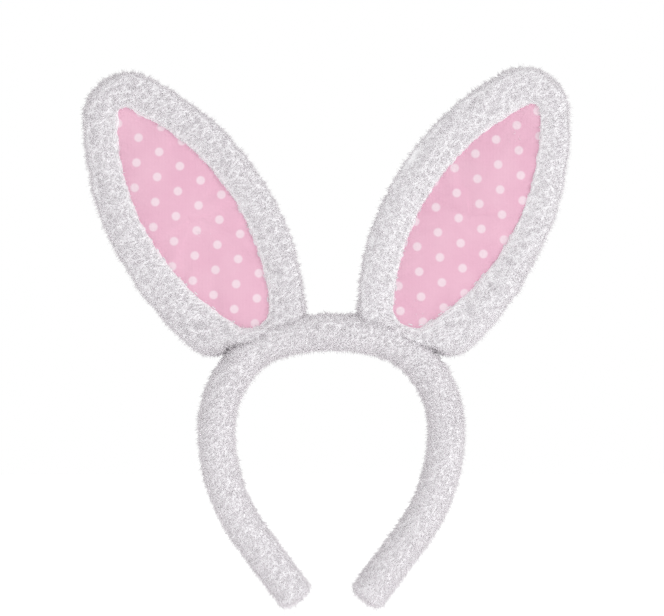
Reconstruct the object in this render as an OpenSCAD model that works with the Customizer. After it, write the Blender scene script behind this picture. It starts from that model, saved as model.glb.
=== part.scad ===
// Plush rabbit-ear headband: a sprung plastic strip in a padded fur sleeve, with two
// wire-framed ears that loop round the strip and rock forwards and back on it.
// Millimetres. X is across the head, +Z up, and the linings face -Y. The origin is the
// point of the sleeve under the crown that rests on the top of the head.

/* [Band path] */
// Radius of the strip's centreline over the crown
crown_r = 107; // [100:1:116]
// Tangent angle at which the crown turns into the shoulder
crown_turn = 15; // [14:0.5:17]
// Radius of the shoulder, under the ear
shoulder_r = 42.5; // [40:0.5:46]
// Tangent angle at which the shoulder turns into the side
shoulder_turn = 45; // [43:1:47]
// Radius of the side, down to its widest point
side_r = 56; // [52:1:58]
// Radius below the widest point, where the leg curls in
lower_r = 97; // [92:1:104]
// Tangent angle of the straight end of the leg
leg_turn = 126.5; // [122:0.5:128]
// Length of the straight end of the leg
leg_len = 39; // [34:1:46]

/* [Band section] */
// Width of the plastic strip, front to back
core_w = 8; // [7.4:0.1:8]
// Thickness of the plastic strip
core_t = 1.8; // [1.4:0.1:1.8]
// Width of the sewn sleeve, front to back, to the cloth and not the pile
sleeve_w = 17; // [16.5:0.5:19]
// Thickness of the sewn sleeve, head side to outside
sleeve_t = 14; // [14:0.2:15]
// Thickness of the fur cloth's woven backing
cloth_t = 1.1; // [0.9:0.1:1.1]

/* [Ear] */
// Height of the tip's centre above the ear's rocking axis
tip_v = 148.5; // [142:0.5:154]
// Sideways place of the tip's centre on the left ear, outwards
tip_u_left = 8.5; // [6:0.5:11]
// Sideways place of the tip's centre on the right ear, outwards
tip_u_right = 2; // [-1:0.5:6]
// Radius of the tip
tip_r = 22; // [19:0.5:23]
// Radius of the edge nearest the other ear
inner_edge_r = 157; // [152:1:170]
// Radius of the outer edge
outer_edge_r = 170; // [160:1:180]
// Depth of the padded front, from the edge seam to the border's face
front_d = 8; // [7.5:0.5:9]
// Depth of the padded back, from the edge seam
back_d = 7; // [6:0.5:8]
// Diameter of the frame wire
wire_d = 1.2; // [1:0.1:1.2]

/* [Lining] */
// Height of the lining's pointed top
lining_top_v = 151; // [145:1:153]
// Radius of the lining's two long edges
lining_edge_r = 131; // [126:1:144]

/* [Hidden] */
$fn = 48;
left = -1;
right = 1;

fur_white = [0.93, 0.92, 0.93];
wadding_white = [0.96, 0.96, 0.95];
lining_pink = [0.95, 0.76, 0.84];
strip_white = [0.90, 0.90, 0.88];
thread_white = [0.98, 0.97, 0.97];
wire_steel = [0.62, 0.63, 0.65];

// ---- band path: arcs that share a tangent where they meet, in the XZ plane ----
mid_z = sleeve_t / 2;                        // height of the centreline over the crown
function along(a) = [sin(a), cos(a)];        // outward direction where the tangent dips by a
crown_c = [0, mid_z - crown_r];
shoulder_c = crown_c + (crown_r - shoulder_r) * along(crown_turn);
side_c = shoulder_c + (shoulder_r - side_r) * along(shoulder_turn);
lower_c = side_c + (side_r - lower_r) * along(90);
leg_start = lower_c + lower_r * along(leg_turn);
// Centre and radius of the arc that holds tangent angle a, and the centreline's point there
function arc_of(a) = a < crown_turn ? [crown_c, crown_r]
    : a < shoulder_turn ? [shoulder_c, shoulder_r]
    : a < 90 ? [side_c, side_r] : [lower_c, lower_r];
function band_point(a) = arc_of(a)[0] + arc_of(a)[1] * along(a);

// ---- flex: each half turns about a Y axis in the crown, on a round-nosed joint ----
flex_x = 9;
flex_turn = asin(flex_x / crown_r);
flex_p = band_point(flex_turn);
knuckle_r = sleeve_t / 2 + 0.3;
knuckle_gap = 0.4;

// ---- ear seat: the rocking axis is the chord between the two wire eyes ----
seat_in = 10;                                // tangent angles of the band at the two eyes
seat_out = 50;
eye_in = band_point(seat_in);
eye_out = band_point(seat_out);
seat_mid = (eye_in + eye_out) / 2;
seat_chord = eye_out - eye_in;
seat_half = norm(seat_chord) / 2;
seat_turn = atan2(-seat_chord[1], seat_chord[0]);
seat_clear_r = 11.4;                         // the ear's soft parts start this far from the axis
rock = 35;                                   // degrees that an ear rocks each way
eye_r = 5;                                   // radius of the wire eye's centreline
slit_w = 4.4;                                // the legs lean outwards as they leave the sleeve
slit_v = 8;                                  // where a leg leaves the cloth, above the axis
slit_y = slit_v * sin(rock) + wire_d;        // half length of a slit, front to back

// Points of a band section: a stadium, with its thickness first
function stadium(thick, wide, n = 10) = [for (s = [0, 1], i = [0:n]) let (f = 180 * (s + i / n))
    [thick / 2 * cos(f), (1 - 2 * s) * (wide - thick) / 2 + thick / 2 * sin(f)]];

// Stations are [point, tangent angle] pairs; a section is carried through them in the XZ plane
function turns(from, to, n) = [for (i = [0:n - 1]) from + (to - from) * i / n];
function half_stations(before, past) = concat(
    [for (a = concat([flex_turn - before], turns(flex_turn + 1, crown_turn, 2),
        turns(crown_turn, shoulder_turn, 6), turns(shoulder_turn, 90, 8),
        turns(90, leg_turn, 6))) [band_point(a), a]],
    [[leg_start, leg_turn], [leg_start + past * [cos(leg_turn), -sin(leg_turn)], leg_turn]]);

module sweep(stations, section) {
    n = len(section);
    m = len(stations);
    polyhedron(
        points = [for (s = stations, q = section)
            [s[0][0] + q[0] * sin(s[1]), q[1], s[0][1] + q[0] * cos(s[1])]],
        faces = concat(
            [[for (j = [n - 1:-1:0]) j]],
            [for (i = [0:m - 2], j = [0:n - 1])
                [i * n + j, i * n + (j + 1) % n, (i + 1) * n + (j + 1) % n, (i + 1) * n + j]],
            [[for (j = [0:n - 1]) (m - 1) * n + j]]));
}

// A flat strip through stations, of a thickness in the XZ plane and a width along Y
module ribbon(stations, thick, wide) {
    last = len(stations) - 1;
    translate([0, wide / 2, 0]) rotate([90, 0, 0]) linear_extrude(wide) polygon(concat(
        [for (s = stations) s[0] + thick / 2 * along(s[1])],
        [for (i = [last:-1:0]) stations[i][0] - thick / 2 * along(stations[i][1])]));
}

module crown_arc() {
    reach = flex_turn + 8;
    translate([crown_c[0], 0, crown_c[1]]) rotate([90, 0, 0]) rotate([0, 0, 90 - reach])
        rotate_extrude(angle = 2 * reach, $fn = 96) translate([crown_r, 0]) children();
}

module band_section(thick, wide) {
    square([thick, wide - thick], center = true);
    for (s = [-1, 1]) translate([0, s * (wide - thick) / 2]) circle(d = thick);
}

// Places children with +Z along the band, at tangent angle a and a distance past it
module at_band(a, past = 0) {
    p = (a < leg_turn ? band_point(a) : leg_start) + past * [cos(a), -sin(a)];
    translate([p[0], 0, p[1]]) rotate([0, 90 + a, 0]) children();
}

module flex_round(r) {
    translate([flex_p[0], 0, flex_p[1]]) rotate([90, 0, 0]) cylinder(r = r, h = 60, center = true);
}

module crown_part() {
    intersection() {
        crown_arc() children();
        union() {
            translate([0, 0, mid_z]) cube([2 * flex_x, 60, 40], center = true);
            flex_round(knuckle_r);
            mirror([1, 0, 0]) flex_round(knuckle_r);
        }
    }
}

module half_part() {
    difference() {
        children();
        flex_round(knuckle_r + knuckle_gap);
    }
}

module on_side(side) {
    if (side == left) mirror([1, 0, 0]) children();
    else children();
}

// Places children in the ear's frame: X across the ear and outwards, Z up the ear, and the
// rocking axis along X through the origin
module in_ear() {
    translate([seat_mid[0], 0, seat_mid[1]]) rotate([0, seat_turn, 0]) children();
}

// Room in the wadding for the wire eyes, and the slits that their legs rock in
module eye_rooms() {
    for (s = [-1, 1]) translate([s * seat_half, 0, 0]) {
        rotate([0, 90, 0]) cylinder(r = eye_r + wire_d / 2 + 0.15, h = slit_w, center = true);
        translate([0, 0, 8]) cube([slit_w, 10.4, 8], center = true);
    }
}
module leg_slits() {
    for (s = [-1, 1]) translate([s * seat_half, 0, 9]) cube([slit_w, 2 * slit_y, 11], center = true);
}

// ---- band pieces ----
wadding_gap = 0.15;
core_short = 9;                              // the strip stops short of the sleeve's closed end
wadding_short = 3;
wadding_t = sleeve_t - 2 * cloth_t - 2 * wadding_gap;
wadding_w = sleeve_w - 2 * cloth_t - 2 * wadding_gap;
slot_t = core_t + 2 * wadding_gap;
slot_w = core_w + 2 * wadding_gap;

module core_strip_half() color(strip_white)
    half_part() ribbon(half_stations(0, leg_len - core_short), core_t, core_w);

module core_strip_crown() color(strip_white) crown_part() square([core_t, core_w], center = true);

module band_wadding_half() color(wadding_white) difference() {
    half_part() sweep(half_stations(0, leg_len - wadding_short), stadium(wadding_t, wadding_w));
    ribbon(half_stations(1, leg_len - core_short + 1), slot_t, slot_w);
    in_ear() eye_rooms();
}

module band_wadding_crown() color(wadding_white) crown_part() difference() {
    band_section(wadding_t, wadding_w);
    square([slot_t, slot_w], center = true);
}

module fur_sleeve_half() color(fur_white) difference() {
    half_part() sweep(half_stations(0, leg_len + cloth_t), stadium(sleeve_t, sleeve_w));
    sweep(half_stations(1, leg_len), stadium(sleeve_t - 2 * cloth_t, sleeve_w - 2 * cloth_t));
    in_ear() leg_slits();
}

module fur_sleeve_crown() color(fur_white) crown_part() difference() {
    band_section(sleeve_t, sleeve_w);
    band_section(sleeve_t - 2 * cloth_t, sleeve_w - 2 * cloth_t);
}

// ---- ladder stitches that close the sleeve on the head side, and its ends ----
thread_d = 0.6;
stitch = 3;                                  // length of a stitch across the seam
stitch_pitch = 6;
seam_drop = sleeve_t / 2 + thread_d / 2 + 0.2;
module cross_stitch(drop = seam_drop) translate([drop, 0, 0]) rotate([90, 0, 0])
    cylinder(d = thread_d, h = stitch, center = true, $fn = 16);

module seam_thread_crown() color(thread_white)
    for (i = [-1:1]) at_band(i * 3) cross_stitch();

module seam_thread_half() color(thread_white) {
    for (run = [[crown_r, 10, crown_turn], [shoulder_r, crown_turn, shoulder_turn],
                [side_r, shoulder_turn, 90], [lower_r, 90, leg_turn - 2]]) {
        count = floor((run[2] - run[1]) * PI / 180 * run[0] / stitch_pitch);
        for (i = [0:count - 1]) at_band(run[1] + (i + 0.5) * (run[2] - run[1]) / count) cross_stitch();
    }
    for (past = [2:stitch_pitch:leg_len - 2]) at_band(leg_turn, past) cross_stitch();
}

module end_thread_half() color(thread_white)
    for (i = [-3:3]) at_band(leg_turn, leg_len + cloth_t + thread_d / 2 + 0.05)
        translate([0, i * 2, 0]) rotate([0, 90, 0])
            cylinder(d = thread_d, h = 7 - 0.7 * abs(i), center = true, $fn = 16);

// ---- ear outline: a tip, two long edges and two lower corners, each tangent to the next ----
// Points of an arc less its last, about a step apart and no more than 15 degrees
function arc_points(c, r, from, to, step) =
    let (n = max(ceil(abs(to - from) / 15), ceil(r * abs(to - from) * PI / 180 / step)))
    [for (i = [0:n - 1]) c + r * [cos(from + (to - from) * i / n), sin(from + (to - from) * i / n)]];
function angle_to(a, b) = atan2(b[1] - a[1], b[0] - a[0]);
// Centre of a circle of radius r that two smaller circles touch from inside. side is 1 where the
// centre lies to the left of the way from a to b.
function around(a, ra, b, rb, r, side) =
    let (d = norm(b - a), da = r - ra, db = r - rb,
         x = (d * d + da * da - db * db) / (2 * d), y = side * sqrt(da * da - x * x), w = (b - a) / d)
    a + [w[0] * x - w[1] * y, w[1] * x + w[0] * y];
function down(angle) = angle > 0 ? angle - 360 : angle;
function up(angle) = angle < 0 ? angle + 360 : angle;

low_in = [-11.5, 18.5];                      // centres of the two lower corners
low_out = [19.5, 28];
low_r = 15.5;
function tip_of(side) = [side == left ? tip_u_left : tip_u_right, tip_v];
function inner_c(side) = around(tip_of(side), tip_r, low_in, low_r, inner_edge_r, 1);
function outer_c(side) = around(tip_of(side), tip_r, low_out, low_r, outer_edge_r, -1);

function ear_outline(side, inset, step = 9) =
    let (tip = tip_of(side), ci = inner_c(side), co = outer_c(side))
    concat(
        arc_points(tip, tip_r - inset, up(angle_to(ci, tip)), angle_to(co, tip), step),
        arc_points(co, outer_edge_r - inset, angle_to(co, tip), angle_to(co, low_out), step),
        arc_points(low_out, low_r - inset, angle_to(co, low_out), -90, step),
        arc_points(low_in, low_r - inset, -90, down(angle_to(ci, low_in)), step),
        arc_points(ci, inner_edge_r - inset, up(angle_to(ci, low_in)), up(angle_to(ci, tip)), step));

function lining_outline(side, grow, step = 8) =
    let (top = [4.6 + 0.6 * tip_of(side)[0], lining_top_v], rt = 3.5, foot = [-1, 28], rf = 10.5,
         ci = around(top, rt, foot, rf, lining_edge_r, 1), co = around(top, rt, foot, rf, lining_edge_r, -1))
    concat(
        arc_points(top, rt + grow, up(angle_to(ci, top)), angle_to(co, top), step),
        arc_points(co, lining_edge_r + grow, angle_to(co, top), angle_to(co, foot), step),
        arc_points(foot, rf + grow, angle_to(co, foot), down(angle_to(ci, foot)), step),
        arc_points(ci, lining_edge_r + grow, up(angle_to(ci, foot)), up(angle_to(ci, top)), step));

// A slice of the ear between two depths; depth grows towards the back (+Y)
module slab(points, from, to) {
    rotate([90, 0, 0]) translate([0, 0, -to]) linear_extrude(to - from) polygon(points);
}

// A puffed half of the ear, from the edge seam to depth d: towards the front where toward is -1
module puff_slices(side, d, toward, inset) {
    for (step = [[0, 0.2, 0], [0.55, 0.6, 1.6], [0.99, 1, 6]]) {
        near = toward * (step[0] * d);
        far = toward * (step[1] * d);
        slab(ear_outline(side, inset + step[2]), min(near, far), max(near, far));
    }
}
module puff(side, d, toward, inset = 0) hull() puff_slices(side, d, toward, inset);

module seat_cut() rotate([0, 90, 0]) cylinder(r = seat_clear_r, h = 120, center = true, $fn = 96);

lining_t = 0.8;
lining_under = 2;                            // seam allowance of the lining behind the border
lining_y = -front_d + cloth_t + 0.4;         // front face of the lining
wire_inset = 3;                              // the wire runs between the edge seam and the wadding
wadding_inset = cloth_t + 3.3;

module ear_border(side) color(fur_white) on_side(side) in_ear() difference() {
    puff(side, front_d, -1);
    puff(side, front_d - cloth_t, -1, cloth_t);
    slab(lining_outline(side, 0), -front_d - 1, 1);
    leg_channels(side);
    seat_cut();
}

module ear_back(side) color(fur_white) on_side(side) in_ear() difference() {
    translate([0, 0.1, 0]) puff(side, back_d, 1);
    translate([0, 0.05, 0]) puff(side, back_d - cloth_t, 1, cloth_t);
    leg_channels(side);
    seat_cut();
}

module ear_lining(side) color(lining_pink) on_side(side) in_ear() difference() {
    slab(lining_outline(side, lining_under), lining_y, lining_y + lining_t);
    seat_cut();
}

module ear_wadding(side) color(wadding_white) on_side(side) in_ear() difference() {
    hull() {
        puff_slices(side, front_d - cloth_t - 0.2, -1, wadding_inset);
        puff_slices(side, back_d - cloth_t - 0.15, 1, wadding_inset);
    }
    slab(lining_outline(side, lining_under + 0.3), -front_d - 1, lining_y + lining_t + 0.9);
    leg_channels(side);
    seat_cut();
}

// ---- wire frame: up one edge, round the tip and down the other, with an eye at each end ----
leg_top_v = 34;                              // height at which the frame turns in to an eye
// Stations of an arc of wire, from polar angle to polar angle about c
function wire_arc(c, r, from, to, n) =
    [for (f = turns(from, to, n)) [c + r * [cos(f), sin(f)], 90 - f]];
function leg_top(side, s) =
    let (c = s < 0 ? inner_c(side) : outer_c(side), r = (s < 0 ? inner_edge_r : outer_edge_r) - wire_inset,
         dv = leg_top_v - c[1]) [c[0] + s * sqrt(r * r - dv * dv), leg_top_v];
function heading(a, b) = -angle_to(a, b);
function wire_stations(side) =
    let (tip = tip_of(side), ci = inner_c(side), co = outer_c(side),
         foot_in = [-seat_half, eye_r], foot_out = [seat_half, eye_r])
    concat(
        [[foot_in, heading(foot_in, leg_top(side, -1))]],
        wire_arc(ci, inner_edge_r - wire_inset, up(angle_to(ci, leg_top(side, -1))),
            up(angle_to(ci, tip)), 8),
        wire_arc(tip, tip_r - wire_inset, up(angle_to(ci, tip)), angle_to(co, tip), 9),
        wire_arc(co, outer_edge_r - wire_inset, angle_to(co, tip), angle_to(co, leg_top(side, 1)), 8),
        [[leg_top(side, 1), 90 - angle_to(co, leg_top(side, 1))],
         [foot_out, heading(leg_top(side, 1), foot_out)]]);

// The run of the frame is a little finer than its two eyes, where the wire is wound back on itself
function round_section(r, n = 8) = [for (i = [0:n - 1]) r * [cos(360 * i / n), sin(360 * i / n)]];
module wire_loop(side, grow = 0) sweep(wire_stations(side), round_section(wire_d / 2 - 0.1 + grow));

module leg_channels(side) for (s = [-1, 1]) {
    top = leg_top(side, s);
    foot = [s * seat_half, eye_r];
    translate([foot[0], 0, foot[1]]) rotate([0, atan2(top[0] - foot[0], top[1] - foot[1]), 0])
        translate([-1.1, -1, -3]) cube([2.2, 2, norm(top - foot) + 3.5]);
}

module ear_wire(side) color(wire_steel) on_side(side) in_ear() {
    wire_loop(side);
    for (s = [-1, 1]) translate([s * seat_half, 0, 0]) rotate([0, 90, 0])
        rotate_extrude($fn = 96) translate([eye_r, 0]) circle(d = wire_d, $fn = 24);
}

// ---- ear stitching: short straight stitches along an outline ----
module stitches(points, y, lowest) {
    for (i = [0:2:len(points) - 2]) {
        a = points[i];
        b = points[i + 1];
        if (min(a[1], b[1]) > lowest)
            translate([a[0], y, a[1]]) rotate([0, atan2(b[0] - a[0], b[1] - a[1]), 0])
                cylinder(d = thread_d, h = 0.8 * norm(b - a), $fn = 16);
    }
}

module ear_edge_thread(side) color(thread_white) on_side(side) in_ear()
    stitches(ear_outline(side, cloth_t + 0.6, 3.2), 0, seat_clear_r + 6);

module ear_lining_thread(side) color(thread_white) on_side(side) in_ear()
    stitches(lining_outline(side, 1.2, 3.2), lining_y + lining_t + 0.4, seat_clear_r + 1);

module ear_base_thread(side) color(thread_white) on_side(side) in_ear()
    for (face = [-1, 1], i = [-5:2])
        rotate([face * 31, 0, 0]) translate([i * 3.8 - 2, 0, seat_clear_r - 0.35]) rotate([0, 90, 0])
            cylinder(d = thread_d, h = 2.4, center = true, $fn = 16);

core_strip_crown();
on_side(left) core_strip_half();  // core_strip_left
on_side(right) core_strip_half();  // core_strip_right
band_wadding_crown();
on_side(left) band_wadding_half();  // band_wadding_left
on_side(right) band_wadding_half();  // band_wadding_right
fur_sleeve_crown();
on_side(left) fur_sleeve_half();  // fur_sleeve_left
on_side(right) fur_sleeve_half();  // fur_sleeve_right
seam_thread_crown();  // sleeve_seam_thread_crown
on_side(left) seam_thread_half();  // sleeve_seam_thread_left
on_side(right) seam_thread_half();  // sleeve_seam_thread_right
on_side(left) end_thread_half();  // sleeve_end_thread_left
on_side(right) end_thread_half();  // sleeve_end_thread_right
ear_wire(left);  // ear_wire_left
ear_wire(right);  // ear_wire_right
ear_wadding(left);  // ear_wadding_left
ear_wadding(right);  // ear_wadding_right
ear_back(left);  // ear_back_left
ear_back(right);  // ear_back_right
ear_border(left);  // ear_border_left
ear_border(right);  // ear_border_right
ear_lining(left);  // ear_lining_left
ear_lining(right);  // ear_lining_right
ear_edge_thread(left);  // ear_edge_thread_left
ear_edge_thread(right);  // ear_edge_thread_right
ear_lining_thread(left);  // ear_lining_thread_left
ear_lining_thread(right);  // ear_lining_thread_right
ear_base_thread(left);  // ear_base_thread_left
ear_base_thread(right);  // ear_base_thread_right
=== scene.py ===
# Plush rabbit-ear headband: skins, pile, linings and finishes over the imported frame.
import math
import bpy
import bmesh
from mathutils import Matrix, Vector, noise


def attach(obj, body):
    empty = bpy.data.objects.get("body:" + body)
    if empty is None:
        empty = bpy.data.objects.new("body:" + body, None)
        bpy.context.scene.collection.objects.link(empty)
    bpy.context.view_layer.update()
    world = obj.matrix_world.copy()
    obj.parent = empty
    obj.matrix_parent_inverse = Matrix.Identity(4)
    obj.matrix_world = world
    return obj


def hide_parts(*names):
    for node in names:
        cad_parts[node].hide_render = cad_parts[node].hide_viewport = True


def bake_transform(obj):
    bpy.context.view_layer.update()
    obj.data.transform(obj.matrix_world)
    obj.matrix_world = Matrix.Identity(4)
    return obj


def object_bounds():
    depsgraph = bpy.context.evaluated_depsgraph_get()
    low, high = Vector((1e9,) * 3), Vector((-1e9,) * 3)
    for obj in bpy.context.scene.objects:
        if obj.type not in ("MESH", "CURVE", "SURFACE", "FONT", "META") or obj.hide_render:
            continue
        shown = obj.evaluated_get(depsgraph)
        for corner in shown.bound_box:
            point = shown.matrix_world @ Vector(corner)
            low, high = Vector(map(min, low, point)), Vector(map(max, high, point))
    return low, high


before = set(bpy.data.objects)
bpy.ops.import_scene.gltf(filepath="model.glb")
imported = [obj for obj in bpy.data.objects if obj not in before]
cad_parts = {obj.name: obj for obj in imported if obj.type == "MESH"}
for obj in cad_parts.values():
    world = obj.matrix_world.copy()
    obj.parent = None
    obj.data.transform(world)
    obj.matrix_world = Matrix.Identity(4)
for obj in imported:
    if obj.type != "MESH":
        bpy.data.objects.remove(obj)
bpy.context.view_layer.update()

mm = 0.001
sideSign = {"left": -1, "right": 1}


def hexColour(code):
    values = [int(code[i:i + 2], 16) / 255 for i in (1, 3, 5)]
    return [v / 12.92 if v <= 0.04045 else ((v + 0.055) / 1.055) ** 2.4 for v in values] + [1.0]


def addNode(tree, kind, inputs={}, **settings):
    node = tree.nodes.new(kind)
    for name, value in settings.items():
        setattr(node, name, value)
    for name, value in inputs.items():  # a socket is linked, anything else is set
        socket = node.inputs[name]
        if isinstance(value, bpy.types.NodeSocket):
            tree.links.new(value, socket)
        else:
            socket.default_value = value
    return node


def newMaterial(name):
    material = bpy.data.materials.new(name)
    material.use_nodes = True
    tree = material.node_tree
    tree.nodes.clear()
    return material, tree


def finishMaterial(tree, shaderInputs, bump=None):
    if bump is not None:
        shaderInputs["Normal"] = bump.outputs["Normal"]
    shader = addNode(tree, "ShaderNodeBsdfPrincipled", shaderInputs)
    addNode(tree, "ShaderNodeOutputMaterial", {"Surface": shader.outputs["BSDF"]})


def meshObject(name, bm, material, smooth=True):
    mesh = bpy.data.meshes.new(name)
    for face in bm.faces:
        face.smooth = smooth
    bm.to_mesh(mesh)
    bm.free()
    obj = bpy.data.objects.new(name, mesh)
    bpy.context.scene.collection.objects.link(obj)
    if material:
        mesh.materials.append(material)
    return obj


def makePileMaterial():  # polyester plush, cut pile: bright matt tips over roots painted slightly darker, painted shade deep in the pile
    material, tree = newMaterial("polyesterPlushPile")
    along = addNode(tree, "ShaderNodeAttribute", attribute_name="along")
    coords = addNode(tree, "ShaderNodeTexCoord")
    patches = addNode(tree, "ShaderNodeTexNoise",
                      {"Vector": coords.outputs["Object"], "Scale": 90.0, "Detail": 2.0})
    tone = addNode(tree, "ShaderNodeMix", {"Factor": patches.outputs["Fac"], "A": hexColour("#FDFAFC"),
                                           "B": hexColour("#FEFDFE")}, data_type="RGBA")
    # painted shade: the roots are coloured darker than the tips, standing in for light lost deep in the pile
    paintedRootShade = addNode(tree, "ShaderNodeMix", {"Factor": along.outputs["Fac"], "A": hexColour("#F9F5F8"),
                                          "B": tone.outputs["Result"]}, data_type="RGBA")
    finishMaterial(tree, {"Base Color": paintedRootShade.outputs["Result"], "Roughness": 0.85, "Specular IOR Level": 0.2})
    return material


def makePileBodyMaterial():  # the same pile seen end on, between the fibres: soft, matt, finely broken up
    material, tree = newMaterial("polyesterPlushDepth")
    coords = addNode(tree, "ShaderNodeTexCoord")
    strands = addNode(tree, "ShaderNodeTexNoise",
                      {"Vector": coords.outputs["Object"], "Scale": 1 / (0.9 * mm),
                       "Detail": 4.0, "Distortion": 1.5})
    tufts = addNode(tree, "ShaderNodeTexVoronoi",
                    {"Vector": coords.outputs["Object"], "Scale": 1 / pile["tuft"]})
    tone = addNode(tree, "ShaderNodeMix", {"Factor": strands.outputs["Fac"], "A": hexColour("#F6F5F7"),
                                           "B": hexColour("#FBFAFC")}, data_type="RGBA")
    height = addNode(tree, "ShaderNodeMath", {0: strands.outputs["Fac"], 1: tufts.outputs["Distance"]},
                     operation="SUBTRACT")
    bump = addNode(tree, "ShaderNodeBump",
                   {"Height": height.outputs[0], "Strength": 0.45, "Distance": 0.6 * mm})
    finishMaterial(tree, {"Base Color": tone.outputs["Result"], "Roughness": 0.9, "Specular IOR Level": 0.15,
                          "Sheen Weight": 0.3, "Sheen Roughness": 0.6}, bump)
    return material


dots = {"spacing": 13.8 * mm, "radius": 2.35 * mm, "softEdge": 0.6 * mm, "turn": 4.5, "colour": "#F3DBE5"}
threadPitch = 0.8 * mm  # drawn coarser than the real 0.3 mm thread, so that it shows
wavesPerScale = 3.1     # a wave texture draws about this many bands for each unit of its scale
dotPlace = {"left": Vector((-105.9, 113.7)) * mm, "right": Vector((101.75, 120.5)) * mm}


def makeLiningMaterial(side):  # brushed polycotton, printed with small round dots in a triangular layout
    material, tree = newMaterial("printedPolycotton_" + side)
    coords = addNode(tree, "ShaderNodeTexCoord")
    turn = math.radians(dots["turn"]) * sideSign[side]
    place = dotPlace[side]
    mapping = addNode(tree, "ShaderNodeMapping",
                      {"Vector": coords.outputs["Object"], "Rotation": (0, turn, 0),
                       "Location": (-(place.x * math.cos(turn) + place.y * math.sin(turn)), 0,
                                    -(-place.x * math.sin(turn) + place.y * math.cos(turn)))})
    pitch = (dots["spacing"] * math.sqrt(3), 1.0, dots["spacing"])
    nearest = []
    for shift in (0.5, 1.0):  # two square-on grids, half a step apart both ways, make the triangular one
        cell = addNode(tree, "ShaderNodeVectorMath", {0: mapping.outputs["Vector"], 1: pitch},
                       operation="DIVIDE")
        moved = addNode(tree, "ShaderNodeVectorMath", {0: cell.outputs["Vector"], 1: (shift, 0, shift)},
                        operation="ADD")
        part = addNode(tree, "ShaderNodeVectorMath", {0: moved.outputs["Vector"]}, operation="FRACTION")
        centred = addNode(tree, "ShaderNodeVectorMath", {0: part.outputs["Vector"], 1: (0.5, 0, 0.5)},
                          operation="SUBTRACT")
        sized = addNode(tree, "ShaderNodeVectorMath",
                        {0: centred.outputs["Vector"], 1: (pitch[0], 0, pitch[2])},
                        operation="MULTIPLY")
        nearest.append(addNode(tree, "ShaderNodeVectorMath", {0: sized.outputs["Vector"]},
                               operation="LENGTH"))
    closest = addNode(tree, "ShaderNodeMath",
                      {0: nearest[0].outputs["Value"], 1: nearest[1].outputs["Value"]},
                      operation="MINIMUM")
    ink = addNode(tree, "ShaderNodeMapRange",
                  {"Value": closest.outputs[0], "From Min": dots["radius"] + dots["softEdge"],
                   "From Max": dots["radius"] - dots["softEdge"], "To Min": 0.0, "To Max": 1.0},
                  interpolation_type="SMOOTHSTEP")
    patches = addNode(tree, "ShaderNodeTexNoise",
                      {"Vector": coords.outputs["Object"], "Scale": 60.0, "Detail": 3.0})
    cloth = addNode(tree, "ShaderNodeMix", {"Factor": patches.outputs["Fac"], "A": hexColour("#E7B1C8"),
                                            "B": hexColour("#EFC2D4")}, data_type="RGBA")
    colour = addNode(tree, "ShaderNodeMix", {"Factor": ink.outputs["Result"], "A": cloth.outputs["Result"],
                                             "B": hexColour(dots["colour"])}, data_type="RGBA")
    waves = []
    for direction in ("X", "Z"):
        waves.append(addNode(tree, "ShaderNodeTexWave",
                             {"Vector": coords.outputs["Object"], "Scale": 1 / (threadPitch * wavesPerScale),
                             "Distortion": 0.6, "Detail": 1.0}, bands_direction=direction))
    weave = addNode(tree, "ShaderNodeMath", {0: waves[0].outputs["Fac"], 1: waves[1].outputs["Fac"]},
                    operation="ADD")
    height = addNode(tree, "ShaderNodeMath", {0: weave.outputs[0], 1: patches.outputs["Fac"]},
                     operation="ADD")
    bump = addNode(tree, "ShaderNodeBump",
                   {"Height": height.outputs[0], "Strength": 0.35, "Distance": 0.3 * mm})
    finishMaterial(tree,
                   {"Base Color": colour.outputs["Result"], "Roughness": 0.85, "Specular IOR Level": 0.2,
                    "Sheen Weight": 0.2, "Sheen Roughness": 0.4}, bump)
    return material


def makeThreadMaterial():  # spun polyester thread: matt, with a fine twist
    material, tree = newMaterial("spunPolyesterThread")
    coords = addNode(tree, "ShaderNodeTexCoord")
    twist = addNode(tree, "ShaderNodeTexWave", {"Vector": coords.outputs["Object"], "Scale": 700.0},
                    bands_direction="DIAGONAL")
    colour = addNode(tree, "ShaderNodeMix", {"Factor": twist.outputs["Fac"], "A": hexColour("#DEDCE0"),
                                             "B": hexColour("#F5F4F6")}, data_type="RGBA")
    bump = addNode(tree, "ShaderNodeBump",
                   {"Height": twist.outputs["Fac"], "Strength": 0.5, "Distance": 0.1 * mm})
    finishMaterial(tree, {"Base Color": colour.outputs["Result"], "Roughness": 0.7,
                          "Specular IOR Level": 0.3}, bump)
    return material


def makeStripMaterial():  # injection-moulded polypropylene: smooth satin, faint flow mottling
    material, tree = newMaterial("mouldedPolypropylene")
    coords = addNode(tree, "ShaderNodeTexCoord")
    flow = addNode(tree, "ShaderNodeTexNoise",
                   {"Vector": coords.outputs["Object"], "Scale": 40.0, "Detail": 4.0})
    colour = addNode(tree, "ShaderNodeMix", {"Factor": flow.outputs["Fac"], "A": hexColour("#E4E3DE"),
                                             "B": hexColour("#EFEEEA")}, data_type="RGBA")
    rough = addNode(tree, "ShaderNodeMapRange",
                    {"Value": flow.outputs["Fac"], "To Min": 0.32, "To Max": 0.45})
    finishMaterial(tree, {"Base Color": colour.outputs["Result"], "Roughness": rough.outputs["Result"],
                          "IOR": 1.49})
    return material


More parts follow.
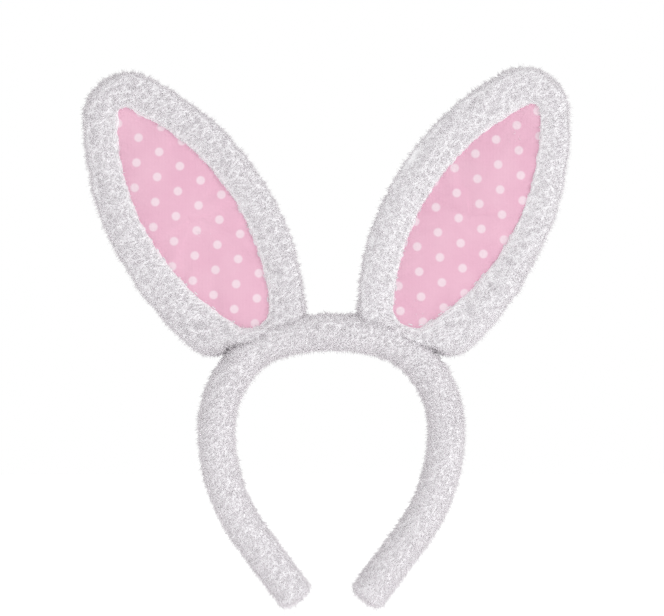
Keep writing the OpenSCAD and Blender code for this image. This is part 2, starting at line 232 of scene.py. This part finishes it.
def makeWireMaterial():  # drawn galvanised wire: dull metal with lengthwise scratches
    material, tree = newMaterial("drawnGalvanisedWire")
    coords = addNode(tree, "ShaderNodeTexCoord")
    drawn = addNode(tree, "ShaderNodeTexNoise",
                    {"Vector": coords.outputs["Object"], "Scale": 800.0, "Detail": 3.0})
    rough = addNode(tree, "ShaderNodeMapRange", {"Value": drawn.outputs["Fac"], "To Min": 0.3, "To Max": 0.5})
    bump = addNode(tree, "ShaderNodeBump",
                   {"Height": drawn.outputs["Fac"], "Strength": 0.2, "Distance": 0.1 * mm})
    finishMaterial(tree, {"Base Color": hexColour("#B9BABD"), "Metallic": 1.0,
                          "Roughness": rough.outputs["Result"]}, bump)
    return material


def makeWaddingMaterial():  # carded polyester fibre: soft white web
    material, tree = newMaterial("cardedPolyesterWadding")
    coords = addNode(tree, "ShaderNodeTexCoord")
    fibres = addNode(tree, "ShaderNodeTexNoise",
                     {"Vector": coords.outputs["Object"], "Scale": 350.0, "Detail": 6.0,
                      "Distortion": 1.5})
    colour = addNode(tree, "ShaderNodeMix", {"Factor": fibres.outputs["Fac"], "A": hexColour("#E2E2E0"),
                                             "B": hexColour("#F7F7F5")}, data_type="RGBA")
    bump = addNode(tree, "ShaderNodeBump",
                   {"Height": fibres.outputs["Fac"], "Strength": 0.7, "Distance": 0.6 * mm})
    finishMaterial(tree, {"Base Color": colour.outputs["Result"], "Roughness": 0.95,
                          "Specular IOR Level": 0.1}, bump)
    return material


nodeMaterials = {"core_strip": makeStripMaterial(), "ear_wire": makeWireMaterial(),
                 "thread": makeThreadMaterial(), "wadding": makeWaddingMaterial()}
for nodeName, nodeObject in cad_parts.items():
    for key, material in nodeMaterials.items():
        if key in nodeName:
            nodeObject.data.materials.clear()
            nodeObject.data.materials.append(material)
print("materials made")


pile = {"stand": 2.3 * mm, "length": 2.3 * mm, "rootRadius": 0.2 * mm, "tuft": 3.8 * mm, "gather": 0.5,
        "stray": 0.7 * mm, "lump": 0.45 * mm, "lumpAcross": 5.5 * mm, "fineLump": 0.6,
        "finer": 2.3, "shortest": 0.68, "longTail": 0.95,
        "tailPower": 5.0}  # the higher, the rarer the long fibres


pileMaterial, bodyMaterial = makePileMaterial(), makePileBodyMaterial()
liningMaterial = {side: makeLiningMaterial(side) for side in sideSign}


def makeFibre():  # one bent, tapered fibre with a closed root
    bm = bmesh.new()
    bmesh.ops.create_circle(bm, cap_ends=True, segments=3, radius=pile["rootRadius"])
    along = bm.verts.layers.float.new("along")
    root = bm.faces[:]
    body = bmesh.ops.extrude_face_region(bm, geom=root)["geom"]
    middle = [g for g in body if isinstance(g, bmesh.types.BMVert)]
    for vert in middle:
        vert.co = vert.co * 0.75 + Vector((0.06, 0, 0.55)) * pile["length"]
        vert[along] = 0.55
    end = bmesh.ops.poke(bm, faces=[g for g in body if isinstance(g, bmesh.types.BMFace)])["verts"][0]
    end.co = Vector((0.2, 0, 1.0)) * pile["length"]
    end[along] = 1.0
    bmesh.ops.recalc_face_normals(bm, faces=bm.faces)
    return meshObject("fibre", bm, pileMaterial)


def roughen(bm, strength=lambda point: 1.0):  # the pile's outer face is softly lumpy
    bm.normal_update()
    for vert in bm.verts:
        spot = vert.co / pile["lumpAcross"]
        wave = noise.noise(spot) + pile["fineLump"] * noise.noise(spot * pile["finer"] + Vector((7, 3, 1)))
        vert.co += vert.normal * pile["lump"] * wave * strength(vert.co)


def pileTree(fibre, density, seed, lay):
    tree = bpy.data.node_groups.new("scatterPile", "GeometryNodeTree")
    tree.interface.new_socket("Geometry", in_out="INPUT", socket_type="NodeSocketGeometry")
    tree.interface.new_socket("Geometry", in_out="OUTPUT", socket_type="NodeSocketGeometry")
    skin = addNode(tree, "NodeGroupInput")
    cover = addNode(tree, "GeometryNodeInputNamedAttribute", {"Name": "cover"}, data_type="FLOAT")
    amount = addNode(tree, "ShaderNodeMath", {0: cover.outputs["Attribute"], 1: density},
                     operation="MULTIPLY")
    roots = addNode(tree, "GeometryNodeDistributePointsOnFaces",
                    {"Mesh": skin.outputs[0], "Density": amount.outputs[0],
                     "Seed": seed}, distribute_method="RANDOM")
    place = addNode(tree, "GeometryNodeInputPosition")
    tufts = addNode(tree, "ShaderNodeTexVoronoi", {"Vector": place.outputs[0], "Scale": 1 / pile["tuft"]})
    inward = addNode(tree, "ShaderNodeVectorMath", {0: tufts.outputs["Position"], 1: place.outputs[0]},
                     operation="SUBTRACT")
    gathered = addNode(tree, "ShaderNodeVectorMath", {0: inward.outputs[0], "Scale": pile["gather"]},
                       operation="SCALE")
    upright = addNode(tree, "ShaderNodeVectorMath", {0: roots.outputs["Normal"], "Scale": pile["length"]},
                      operation="SCALE")
    stray = addNode(tree, "FunctionNodeRandomValue",
                    {"Min": (-pile["stray"],) * 3, "Max": (pile["stray"],) * 3,
                     "Seed": seed + 1}, data_type="FLOAT_VECTOR")
    heading = addNode(tree, "ShaderNodeVectorMath", {0: gathered.outputs[0], 1: upright.outputs[0]},
                      operation="ADD")
    combed = addNode(tree, "ShaderNodeVectorMath", {0: heading.outputs[0], 1: lay}, operation="ADD")
    loose = addNode(tree, "ShaderNodeVectorMath", {0: combed.outputs[0], 1: stray.outputs["Value"]},
                    operation="ADD")
    aim = addNode(tree, "FunctionNodeAlignRotationToVector", {"Vector": loose.outputs[0]}, axis="Z")
    angle = addNode(tree, "FunctionNodeRandomValue", {2: 0.0, 3: 2 * math.pi, "Seed": seed + 2},
                    data_type="FLOAT")
    twirl = addNode(tree, "FunctionNodeAxisAngleToRotation", {"Axis": (0, 0, 1), "Angle": angle.outputs[1]})
    turned = addNode(tree, "FunctionNodeRotateRotation",
                     {"Rotation": aim.outputs[0], "Rotate By": twirl.outputs[0]},
                     rotation_space="LOCAL")
    draw = addNode(tree, "FunctionNodeRandomValue", {2: 0.0, 3: 1.0, "Seed": seed + 3}, data_type="FLOAT")
    rare = addNode(tree, "ShaderNodeMath", {0: draw.outputs[1], 1: pile["tailPower"]}, operation="POWER")
    size = addNode(tree, "ShaderNodeMath", {0: rare.outputs[0], 1: pile["longTail"], 2: pile["shortest"]},
                   operation="MULTIPLY_ADD")
    trim = addNode(tree, "GeometryNodeInputNamedAttribute", {"Name": "trim"}, data_type="FLOAT")
    tall = addNode(tree, "ShaderNodeMath", {0: size.outputs[0], 1: trim.outputs["Attribute"]},
                   operation="MULTIPLY")
    wide = addNode(tree, "ShaderNodeCombineXYZ", {"X": 1.0, "Y": 1.0, "Z": tall.outputs[0]})
    source = addNode(tree, "GeometryNodeObjectInfo", {"Object": fibre})
    planted = addNode(tree, "GeometryNodeInstanceOnPoints", {"Points": roots.outputs["Points"],
                      "Instance": source.outputs["Geometry"], "Rotation": turned.outputs[0],
                      "Scale": wide.outputs[0]})
    real = addNode(tree, "GeometryNodeRealizeInstances", {"Geometry": planted.outputs[0]})
    addNode(tree, "NodeGroupOutput", {"Geometry": real.outputs[0]})
    return tree


# keep says how densely a spot is covered, and cut how long its fibres are
def growPile(name, skin, fibre, count, seed, lay, keep, cut=lambda point: 1.0):
    bm = bmesh.new()
    bm.from_mesh(skin.data)
    layer, trim = bm.verts.layers.float.new("cover"), bm.verts.layers.float.new("trim")
    for vert in bm.verts:
        vert[layer], vert[trim] = keep(vert.co, vert.normal), cut(vert.co)
    area = sum(face.calc_area() * sum(v[layer] for v in face.verts) / len(face.verts) for face in bm.faces)
    grower = meshObject(name + "Grower", bm, pileMaterial)
    modifier = grower.modifiers.new("pile", "NODES")
    modifier.node_group = pileTree(fibre, count / area, seed, lay)
    evaluated = grower.evaluated_get(bpy.context.evaluated_depsgraph_get())
    mesh = bpy.data.meshes.new_from_object(evaluated)
    mesh.name = name
    obj = bpy.data.objects.new(name, mesh)
    bpy.context.scene.collection.objects.link(obj)
    if not mesh.materials:
        mesh.materials.append(pileMaterial)
    for spare in ("cover", "trim"):
        if spare in mesh.attributes:
            mesh.attributes.remove(mesh.attributes[spare])
    tree = modifier.node_group
    bpy.data.objects.remove(grower)
    bpy.data.node_groups.remove(tree)
    print(name, len(mesh.polygons), "faces of pile")
    return obj


fibreSource = makeFibre()


band = {"crownRadius": 107 * mm, "crownTurn": 15, "shoulderRadius": 42.5 * mm, "shoulderTurn": 45,
        "sideRadius": 56 * mm, "lowerRadius": 97 * mm, "legTurn": 126.5, "legStep": 1.6 * mm, "legSteps": 25,
        "thickness": 14 * mm, "width": 17 * mm, "centreHeight": 7 * mm, "flexAt": 9 * mm,
        "seamDip": 1.5 * mm, "pileCount": 12500, "pileSplit": -47 * mm, "ringEvery": 1.7 * mm,
        "sides": 44, "bendFrom": 3 * mm, "bendTo": 15 * mm}


def outward(degrees):
    return Vector((math.sin(math.radians(degrees)), 0, math.cos(math.radians(degrees))))


crownCentre = Vector((0, 0, band["centreHeight"] - band["crownRadius"]))
shoulderCentre = crownCentre + (band["crownRadius"] - band["shoulderRadius"]) * outward(band["crownTurn"])
sideCentre = shoulderCentre + (band["shoulderRadius"] - band["sideRadius"]) * outward(band["shoulderTurn"])
lowerCentre = sideCentre + (band["sideRadius"] - band["lowerRadius"]) * outward(90)
legStart = lowerCentre + band["lowerRadius"] * outward(band["legTurn"])
legWay = Vector((math.cos(math.radians(band["legTurn"])), 0, -math.sin(math.radians(band["legTurn"]))))
bandArcs = [(crownCentre, band["crownRadius"], 0, band["crownTurn"]),
            (shoulderCentre, band["shoulderRadius"], band["crownTurn"], band["shoulderTurn"]),
            (sideCentre, band["sideRadius"], band["shoulderTurn"], 90),
            (lowerCentre, band["lowerRadius"], 90, band["legTurn"])]


def bandPoint(degrees):
    for centre, radius, start, end in bandArcs:
        if degrees <= end:
            return centre + radius * outward(degrees)


def makeBandSkin(side):
    bm = bmesh.new()
    radius = band["thickness"] / 2 + pile["stand"]
    ring = bmesh.ops.create_circle(bm, segments=band["sides"], radius=radius)["verts"]
    for vert in ring:  # the circle stands across the path at the crown, drawn out to a stadium front to back
        flat = (band["width"] - band["thickness"]) / 2 * max(-1, min(1, vert.co.y / (2 * mm)))
        atStitches = vert.co.x < 0 and abs(vert.co.y) < 0.5 * mm
        parting = band["seamDip"] if atStitches else 0.0
        vert.co = Vector((0, vert.co.y + flat, vert.co.x + parting + band["centreHeight"]))
    last = ring + bm.edges[:]
    for centre, pathRadius, start, end in bandArcs:
        steps = max(4, round(pathRadius * math.radians(end - start) / band["ringEvery"]))
        last = bmesh.ops.spin(bm, geom=last, cent=centre, axis=(0, 1, 0), angle=math.radians(end - start),
                              steps=steps, use_merge=False, use_normal_flip=False,
                              use_duplicate=False)["geom_last"]
    tipCentre = legStart.copy()
    straight = [(band["legStep"], 1.0)] * band["legSteps"]
    # length of each step to the tip, and the size of the ring there
    rounded = [(1.2 * mm, 0.97), (1.0 * mm, 0.9), (0.7 * mm, 0.78), (0.4 * mm, 0.6), (0.1 * mm, 0.3)]
    for step, size in straight + rounded:
        edges = [g for g in last if isinstance(g, bmesh.types.BMEdge)]
        last = bmesh.ops.extrude_edge_only(bm, edges=edges)["geom"]
        tipCentre += legWay * step
        for vert in [g for g in last if isinstance(g, bmesh.types.BMVert)]:
            vert.co += legWay * step
            if size < 1:
                vert.co = tipCentre + (vert.co - tipCentre) * size
    bmesh.ops.holes_fill(bm, edges=bm.edges, sides=0)  # flat ends, at the crown's middle and at the tip
    bmesh.ops.recalc_face_normals(bm, faces=bm.faces)
    roughen(bm, lambda point: min(1.0, point.x / (3 * mm)))
    for face in bm.faces:
        if len(face.verts) > 4:  # the flat ends meet the tube at a sharp rim
            for edge in face.edges:
                edge.smooth = False
    bmesh.ops.scale(bm, verts=bm.verts, vec=(sideSign[side], 1, 1))
    bmesh.ops.recalc_face_normals(bm, faces=bm.faces)
    return meshObject("bandSleeve" + side.title(), bm, bodyMaterial)


for number, side in enumerate(sideSign):
    sign = sideSign[side]
    skin = makeBandSkin(side)
    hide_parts("fur_sleeve_" + side, "fur_sleeve_crown")
    upper = growPile("bandPileUpper" + side.title(), skin, fibreSource, band["pileCount"], 10 + number,
                     (sign * 0.5 * mm, 0, -1.2 * mm), lambda p, n: 1.0 if p.z > band["pileSplit"] else 0.0)
    lower = growPile("bandPileLower" + side.title(), skin, fibreSource, band["pileCount"], 20 + number,
                     (-sign * 0.6 * mm, 0, -1.6 * mm), lambda p, n: 1.0 if p.z <= band["pileSplit"] else 0.0)
    for piece in (skin, upper):
        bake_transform(piece)
    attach(lower, side + "_half")
print("band made")


ear = {"tipHeight": 148.5 * mm, "tipOut": {"left": 8.5 * mm, "right": 2 * mm}, "tipRadius": 22 * mm,
       "innerEdgeRadius": 157 * mm, "outerEdgeRadius": 170 * mm, "lowInner": (-11.5 * mm, 18.5 * mm),
       "lowOuter": (19.5 * mm, 28 * mm), "lowRadius": 15.5 * mm,
       "liningTop": 151 * mm, "liningTopOut": 4.6 * mm, "liningLean": 0.6, "liningTopRadius": 3.5 * mm,
       "liningFoot": (-1 * mm, 26 * mm), "liningFootRadius": 10.5 * mm, "liningEdgeRadius": 131 * mm,
       "windowEase": 1 * mm, "frontPile": 19000, "backPile": 18000, "backMiddle": 9.1 * mm,
       "recessFloor": -4.4 * mm, "liningTuck": 0.8 * mm, "liningRim": 5.3 * mm, "liningCrown": 1.9 * mm,
       "clipReach": 6 * mm, "bendFrom": 8 * mm, "bendTo": 26 * mm}
eyeInner, eyeOuter = bandPoint(10), bandPoint(50)
seat = (eyeInner + eyeOuter) / 2
acrossEar = (eyeOuter - eyeInner).normalized()
upEar = Vector((-acrossEar.z, 0, acrossEar.x))


def placeInEar(side, u, v, y):
    point = seat + acrossEar * u + upEar * v
    return Vector((point.x * sideSign[side], y, point.z))


# centre of the circle that two smaller ones touch from inside
def circleRound(a, radiusA, b, radiusB, radius, turn):
    way = b - a
    reach, legA, legB = way.length, radius - radiusA, radius - radiusB
    x = (reach ** 2 + legA ** 2 - legB ** 2) / (2 * reach)
    y = turn * math.sqrt(legA ** 2 - x ** 2)
    way.normalize()
    return a + Vector((way.x * x - way.y * y, way.y * x + way.x * y))


def arcPoints(centre, radius, start, end, count=40):
    return [centre + radius * Vector((math.cos(start + (end - start) * i / count),
                                      math.sin(start + (end - start) * i / count))) for i in range(count)]


def angleOf(way):
    return math.atan2(way.y, way.x)


def leafOutline(tip, tipRadius, lows, lowRadius, innerRadius, outerRadius, grow, count=110):
    inner = circleRound(tip, tipRadius, lows[0], lowRadius, innerRadius, 1)
    outer = circleRound(tip, tipRadius, lows[-1], lowRadius, outerRadius, -1)
    outerTop, outerLow = angleOf(tip - outer), angleOf(lows[-1] - outer)
    innerTop, innerLow = angleOf(tip - inner) % (2 * math.pi), angleOf(lows[0] - inner) % (2 * math.pi)
    points = arcPoints(tip, tipRadius + grow, math.pi / 2, outerTop)
    points += arcPoints(outer, outerRadius + grow, outerTop, outerLow)
    points += arcPoints(lows[-1], lowRadius + grow, outerLow, -math.pi / 2)
    points += arcPoints(lows[0], lowRadius + grow, -math.pi / 2, innerLow - 2 * math.pi)
    points += arcPoints(inner, innerRadius + grow, innerLow, innerTop)
    points += arcPoints(tip, tipRadius + grow, innerTop, math.pi / 2)
    lengths = [0.0]
    for a, b in zip(points, points[1:] + points[:1]):
        lengths.append(lengths[-1] + (b - a).length)
    even, k = [], 0
    for i in range(count):  # walked round at an even pace from the tip
        wanted = lengths[-1] * i / count
        while lengths[k + 1] < wanted:
            k += 1
        share = (wanted - lengths[k]) / max(lengths[k + 1] - lengths[k], 1e-9)
        even.append(points[k].lerp(points[(k + 1) % len(points)], share))
    return even


def earEdge(side, grow=0.0):
    tip = Vector((ear["tipOut"][side], ear["tipHeight"]))
    return leafOutline(tip, ear["tipRadius"], [Vector(ear["lowInner"]), Vector(ear["lowOuter"])],
                       ear["lowRadius"], ear["innerEdgeRadius"], ear["outerEdgeRadius"], grow)


def liningEdge(side, grow=0.0):
    tip = Vector((ear["liningTopOut"] + ear["liningLean"] * ear["tipOut"][side], ear["liningTop"]))
    return leafOutline(tip, ear["liningTopRadius"], [Vector(ear["liningFoot"])], ear["liningFootRadius"],
                       ear["liningEdgeRadius"], ear["liningEdgeRadius"], grow)


def addRing(bm, side, points, y):
    verts = [bm.verts.new(placeInEar(side, p.x, p.y, y)) for p in points]
    return [bm.edges.new((a, b)) for a, b in zip(verts, verts[1:] + verts[:1])]


# share of the way from the edge seam to the lining, and depth there in mm
borderRoll = [(0.02, -1.6), (0.06, -4.0), (0.13, -6.2), (0.22, -8.0), (0.34, -9.1), (0.48, -9.6),
              (0.62, -9.5), (0.75, -9.0), (0.86, -8.0), (0.94, -6.9), (1.0, -5.4)]
backCrown = [(0.0, 0.2), (0.02, 2.2), (0.06, 4.5), (0.14, 6.5), (0.27, 7.8), (0.45, 8.5), (0.7, 8.9),
             (1.0, 9.0)]


cloth = {"pressure": 4.0, "frames": 20, "bodySlack": -0.03, "bodyCap": 1.8 * mm,
         "liningSlack": -0.012, "liningCap": 0.8 * mm}


# wadding pushes the cloth out between its seams, and no point moves further than the cap
def settleCloth(obj, held, slack, cap):
    start = [vert.co.copy() for vert in obj.data.vertices]
    group = obj.vertex_groups.new(name="held")
    group.add(held, 1.0, "REPLACE")
    modifier = obj.modifiers.new("cloth", "CLOTH")
    modifier.settings.vertex_group_mass = "held"
    modifier.settings.use_pressure = True
    modifier.settings.uniform_pressure_force = cloth["pressure"]
    modifier.settings.shrink_min = slack
    modifier.settings.effector_weights.gravity = 0.0
    modifier.point_cache.frame_end = cloth["frames"]
    for frameNumber in range(1, cloth["frames"] + 1):
        bpy.context.scene.frame_set(frameNumber)
    settled = obj.evaluated_get(bpy.context.evaluated_depsgraph_get()).to_mesh()
    ends = [vert.co.copy() for vert in settled.vertices]
    furthest = 0.0
    for vert, old, new in zip(obj.data.vertices, start, ends):
        move = new - old
        furthest = max(furthest, move.length)
        vert.co = old + move * min(1.0, cap / max(move.length, 1e-9))
    obj.modifiers.remove(modifier)
    obj.vertex_groups.remove(group)
    bpy.context.scene.frame_set(1)
    print(obj.name, "settled, furthest point", round(furthest / mm, 2), "mm before the cap")


def makeEarBody(side):
    bm = bmesh.new()
    edge, window = earEdge(side, pile["stand"]), liningEdge(side, ear["windowEase"])
    middle = sum(window, Vector((0, 0))) / len(window)
    rings = []
    for share in (0.15, 0.55):  # the back's flat middle
        rings.append(addRing(bm, side, [middle.lerp(p, share) for p in window], ear["backMiddle"]))
    for share, y in reversed(backCrown):
        rings.append(addRing(bm, side, [a.lerp(b, share) for a, b in zip(edge, window)], y * mm))
    for share, y in borderRoll:
        rings.append(addRing(bm, side, [a.lerp(b, share) for a, b in zip(edge, window)], y * mm))
    for share in (0.97, 0.5, 0.12):  # the floor of the recess, under the lining
        rings.append(addRing(bm, side, [middle.lerp(p, share) for p in window], ear["recessFloor"]))
    for one, two in zip(rings, rings[1:]):
        bmesh.ops.bridge_loops(bm, edges=one + two)
    bmesh.ops.holes_fill(bm, edges=rings[0] + rings[-1], sides=0)
    bmesh.ops.recalc_face_normals(bm, faces=bm.faces)
    body = meshObject("earBody" + side.title(), bm, bodyMaterial)
    around, seam, hem = len(window), 1 + len(backCrown), len(rings) - 5
    edgeSeam = list(range(seam * around, (seam + 1) * around))  # sewn at its edge and at the lining
    liningSeam = list(range(hem * around, len(rings) * around))
    settleCloth(body, edgeSeam + liningSeam, cloth["bodySlack"], cloth["bodyCap"])
    bm = bmesh.new()
    bm.from_mesh(body.data)
    bmesh.ops.subdivide_edges(bm, edges=bm.edges[:], cuts=1, use_grid_fill=True)
    roughen(bm)
    bm.to_mesh(body.data)
    bm.free()
    return body


ripples = [(0.35 * mm, 45), (0.2 * mm, 110)]  # height, and how many to the metre


def makeLining(side):
    bm = bmesh.new()
    window = liningEdge(side, ear["windowEase"] + ear["liningTuck"])
    middle = sum(window, Vector((0, 0))) / len(window)
    rings = []
    for share in (1.0, 0.97, 0.92, 0.84, 0.72, 0.58, 0.43, 0.28, 0.14, 0.05):
        depth = -(ear["liningRim"] + ear["liningCrown"] * (1 - share ** 2.2))
        rings.append(addRing(bm, side, [middle.lerp(p, share) for p in window], depth))
    for one, two in zip(rings, rings[1:]):
        bmesh.ops.bridge_loops(bm, edges=one + two)
    bmesh.ops.holes_fill(bm, edges=rings[-1], sides=0)
    bmesh.ops.recalc_face_normals(bm, faces=bm.faces)
    if sum((f.normal.y * f.calc_area() for f in bm.faces)) > 0:
        bmesh.ops.reverse_faces(bm, faces=bm.faces)
    for vert in bm.verts:  # slack between the stitches and the wadding shows as soft shallow ripples
        vert.co.y += sum(height * noise.noise(vert.co * often) for height, often in ripples)
    lining = meshObject("earLining" + side.title(), bm, liningMaterial[side])
    settleCloth(lining, list(range(len(window))), cloth["liningSlack"], cloth["liningCap"])
    return lining


def awayFromLining(side, point):
    local = Vector((point.x * sideSign[side], 0, point.z)) - seat
    spot = Vector((local.dot(acrossEar), local.dot(upEar)))
    return min((spot - p).length for p in liningEdges[side])


def pileCut(side, point):  # the pile is clipped short where the border is turned down to the lining
    return 0.5 + 0.5 * min(1.0, awayFromLining(side, point) / ear["clipReach"])


noPile = {"behind": 0.3 * mm, "floorFacing": -0.85, "floorBehind": -5.2 * mm, "rimFront": -5.7 * mm,
          "rimBack": -1 * mm, "rimReach": 3 * mm}


def frontCover(side, point, normal):  # no pile on the back half, nor in the recess under the lining
    onFloor = normal.y < noPile["floorFacing"] and point.y > noPile["floorBehind"]
    underRim = (noPile["rimFront"] < point.y < noPile["rimBack"]
                and awayFromLining(side, point) < noPile["rimReach"])
    return 0.0 if point.y > noPile["behind"] or onFloor or underRim else 1.0


liningEdges = {side: liningEdge(side, ear["windowEase"]) for side in sideSign}
for number, side in enumerate(sideSign):
    sign = sideSign[side]
    body = makeEarBody(side)
    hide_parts("ear_back_" + side, "ear_border_" + side, "ear_wadding_" + side)
    front = growPile("earPileFront" + side.title(), body, fibreSource, ear["frontPile"], 30 + number,
                     (sign * 0.3 * mm, 0, -0.8 * mm), lambda p, n: frontCover(side, p, n),
                     lambda p: pileCut(side, p))
    back = growPile("earPileBack" + side.title(), body, fibreSource, ear["backPile"], 40 + number,
                    (sign * 0.3 * mm, 0, -1.2 * mm), lambda p, n: 1.0 if p.y > 0.1 * mm else 0.0)
    lining = makeLining(side)
    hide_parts("ear_lining_" + side)
    for piece in (body, front, back, lining):
        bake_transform(piece)
bpy.data.objects.remove(fibreSource)
print("ears made")


stage = {"floorRadius": 2.2, "floorBack": 0.3, "floorDrop": 0.4 * mm, "floorGlow": 0.25, "worldLight": 0.73,
         "cameraAway": 3.0, "cameraAim": (0.3 * mm, 20.2 * mm), "viewAcross": 365.2 * mm}
suns = [("keyRight", (-0.95, 0.8, -0.3), 0.68, 26), ("fillFront", (0.1, 1.0, -0.3), 0.2, 60),
        ("fillBack", (0.2, -1.0, -0.4), 0.45, 60)]  # way the light travels, strength, spread in degrees


def makeFloor():
    material, tree = newMaterial("paleStudioFloor")
    coords = addNode(tree, "ShaderNodeTexCoord")
    grain = addNode(tree, "ShaderNodeTexNoise", {"Vector": coords.outputs["Object"], "Scale": 30.0})
    colour = addNode(tree, "ShaderNodeMix", {"Factor": grain.outputs["Fac"], "A": hexColour("#FAFAFA"),
                                             "B": hexColour("#FDFDFD")}, data_type="RGBA")
    finishMaterial(tree, {"Base Color": colour.outputs["Result"], "Roughness": 0.9, "Specular IOR Level": 0.1,
                          "Emission Color": hexColour("#FFFFFF"), "Emission Strength": stage["floorGlow"]})
    bm = bmesh.new()
    bmesh.ops.create_circle(bm, cap_ends=True, segments=96, radius=stage["floorRadius"])
    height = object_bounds()[0][2] - stage["floorDrop"]
    bmesh.ops.translate(bm, verts=bm.verts, vec=(0, stage["floorBack"], height))
    meshObject("floor", bm, material, smooth=False)


def makeLight(name, way, strength, spread):
    light = bpy.data.lights.new(name, "SUN")
    light.energy, light.angle = strength, math.radians(spread)
    obj = bpy.data.objects.new(name, light)
    obj.rotation_euler = Vector(way).to_track_quat("-Z", "Y").to_euler()
    bpy.context.scene.collection.objects.link(obj)


def makeWorld():
    world = bpy.data.worlds.new("studio")
    world.use_nodes = True
    tree = world.node_tree
    tree.nodes.clear()
    glow = addNode(tree, "ShaderNodeBackground",
                   {"Color": hexColour("#FFFFFF"), "Strength": stage["worldLight"]})
    white = addNode(tree, "ShaderNodeBackground", {"Color": hexColour("#FFFFFF"), "Strength": 1.0})
    seen = addNode(tree, "ShaderNodeLightPath")
    both = addNode(tree, "ShaderNodeMixShader", {0: seen.outputs["Is Camera Ray"], 1: glow.outputs[0],
                                                 2: white.outputs[0]})
    addNode(tree, "ShaderNodeOutputWorld", {"Surface": both.outputs[0]})
    bpy.context.scene.world = world


def makeCamera():
    camera = bpy.data.cameras.new("camera")
    camera.sensor_width = 36.0
    camera.lens = camera.sensor_width * stage["cameraAway"] / stage["viewAcross"]
    camera.clip_end = 20.0
    obj = bpy.data.objects.new("camera", camera)
    obj.location = (stage["cameraAim"][0], -stage["cameraAway"], stage["cameraAim"][1])
    obj.rotation_euler = (math.pi / 2, 0, 0)
    bpy.context.scene.collection.objects.link(obj)
    bpy.context.scene.camera = obj


makeFloor()
for sun in suns:
    makeLight(*sun)
makeWorld()
makeCamera()
bpy.context.scene.view_settings.view_transform = "Standard"
bpy.context.scene.cycles.diffuse_bounces = 12  # light goes deep into white pile and comes out again
print("stage made")
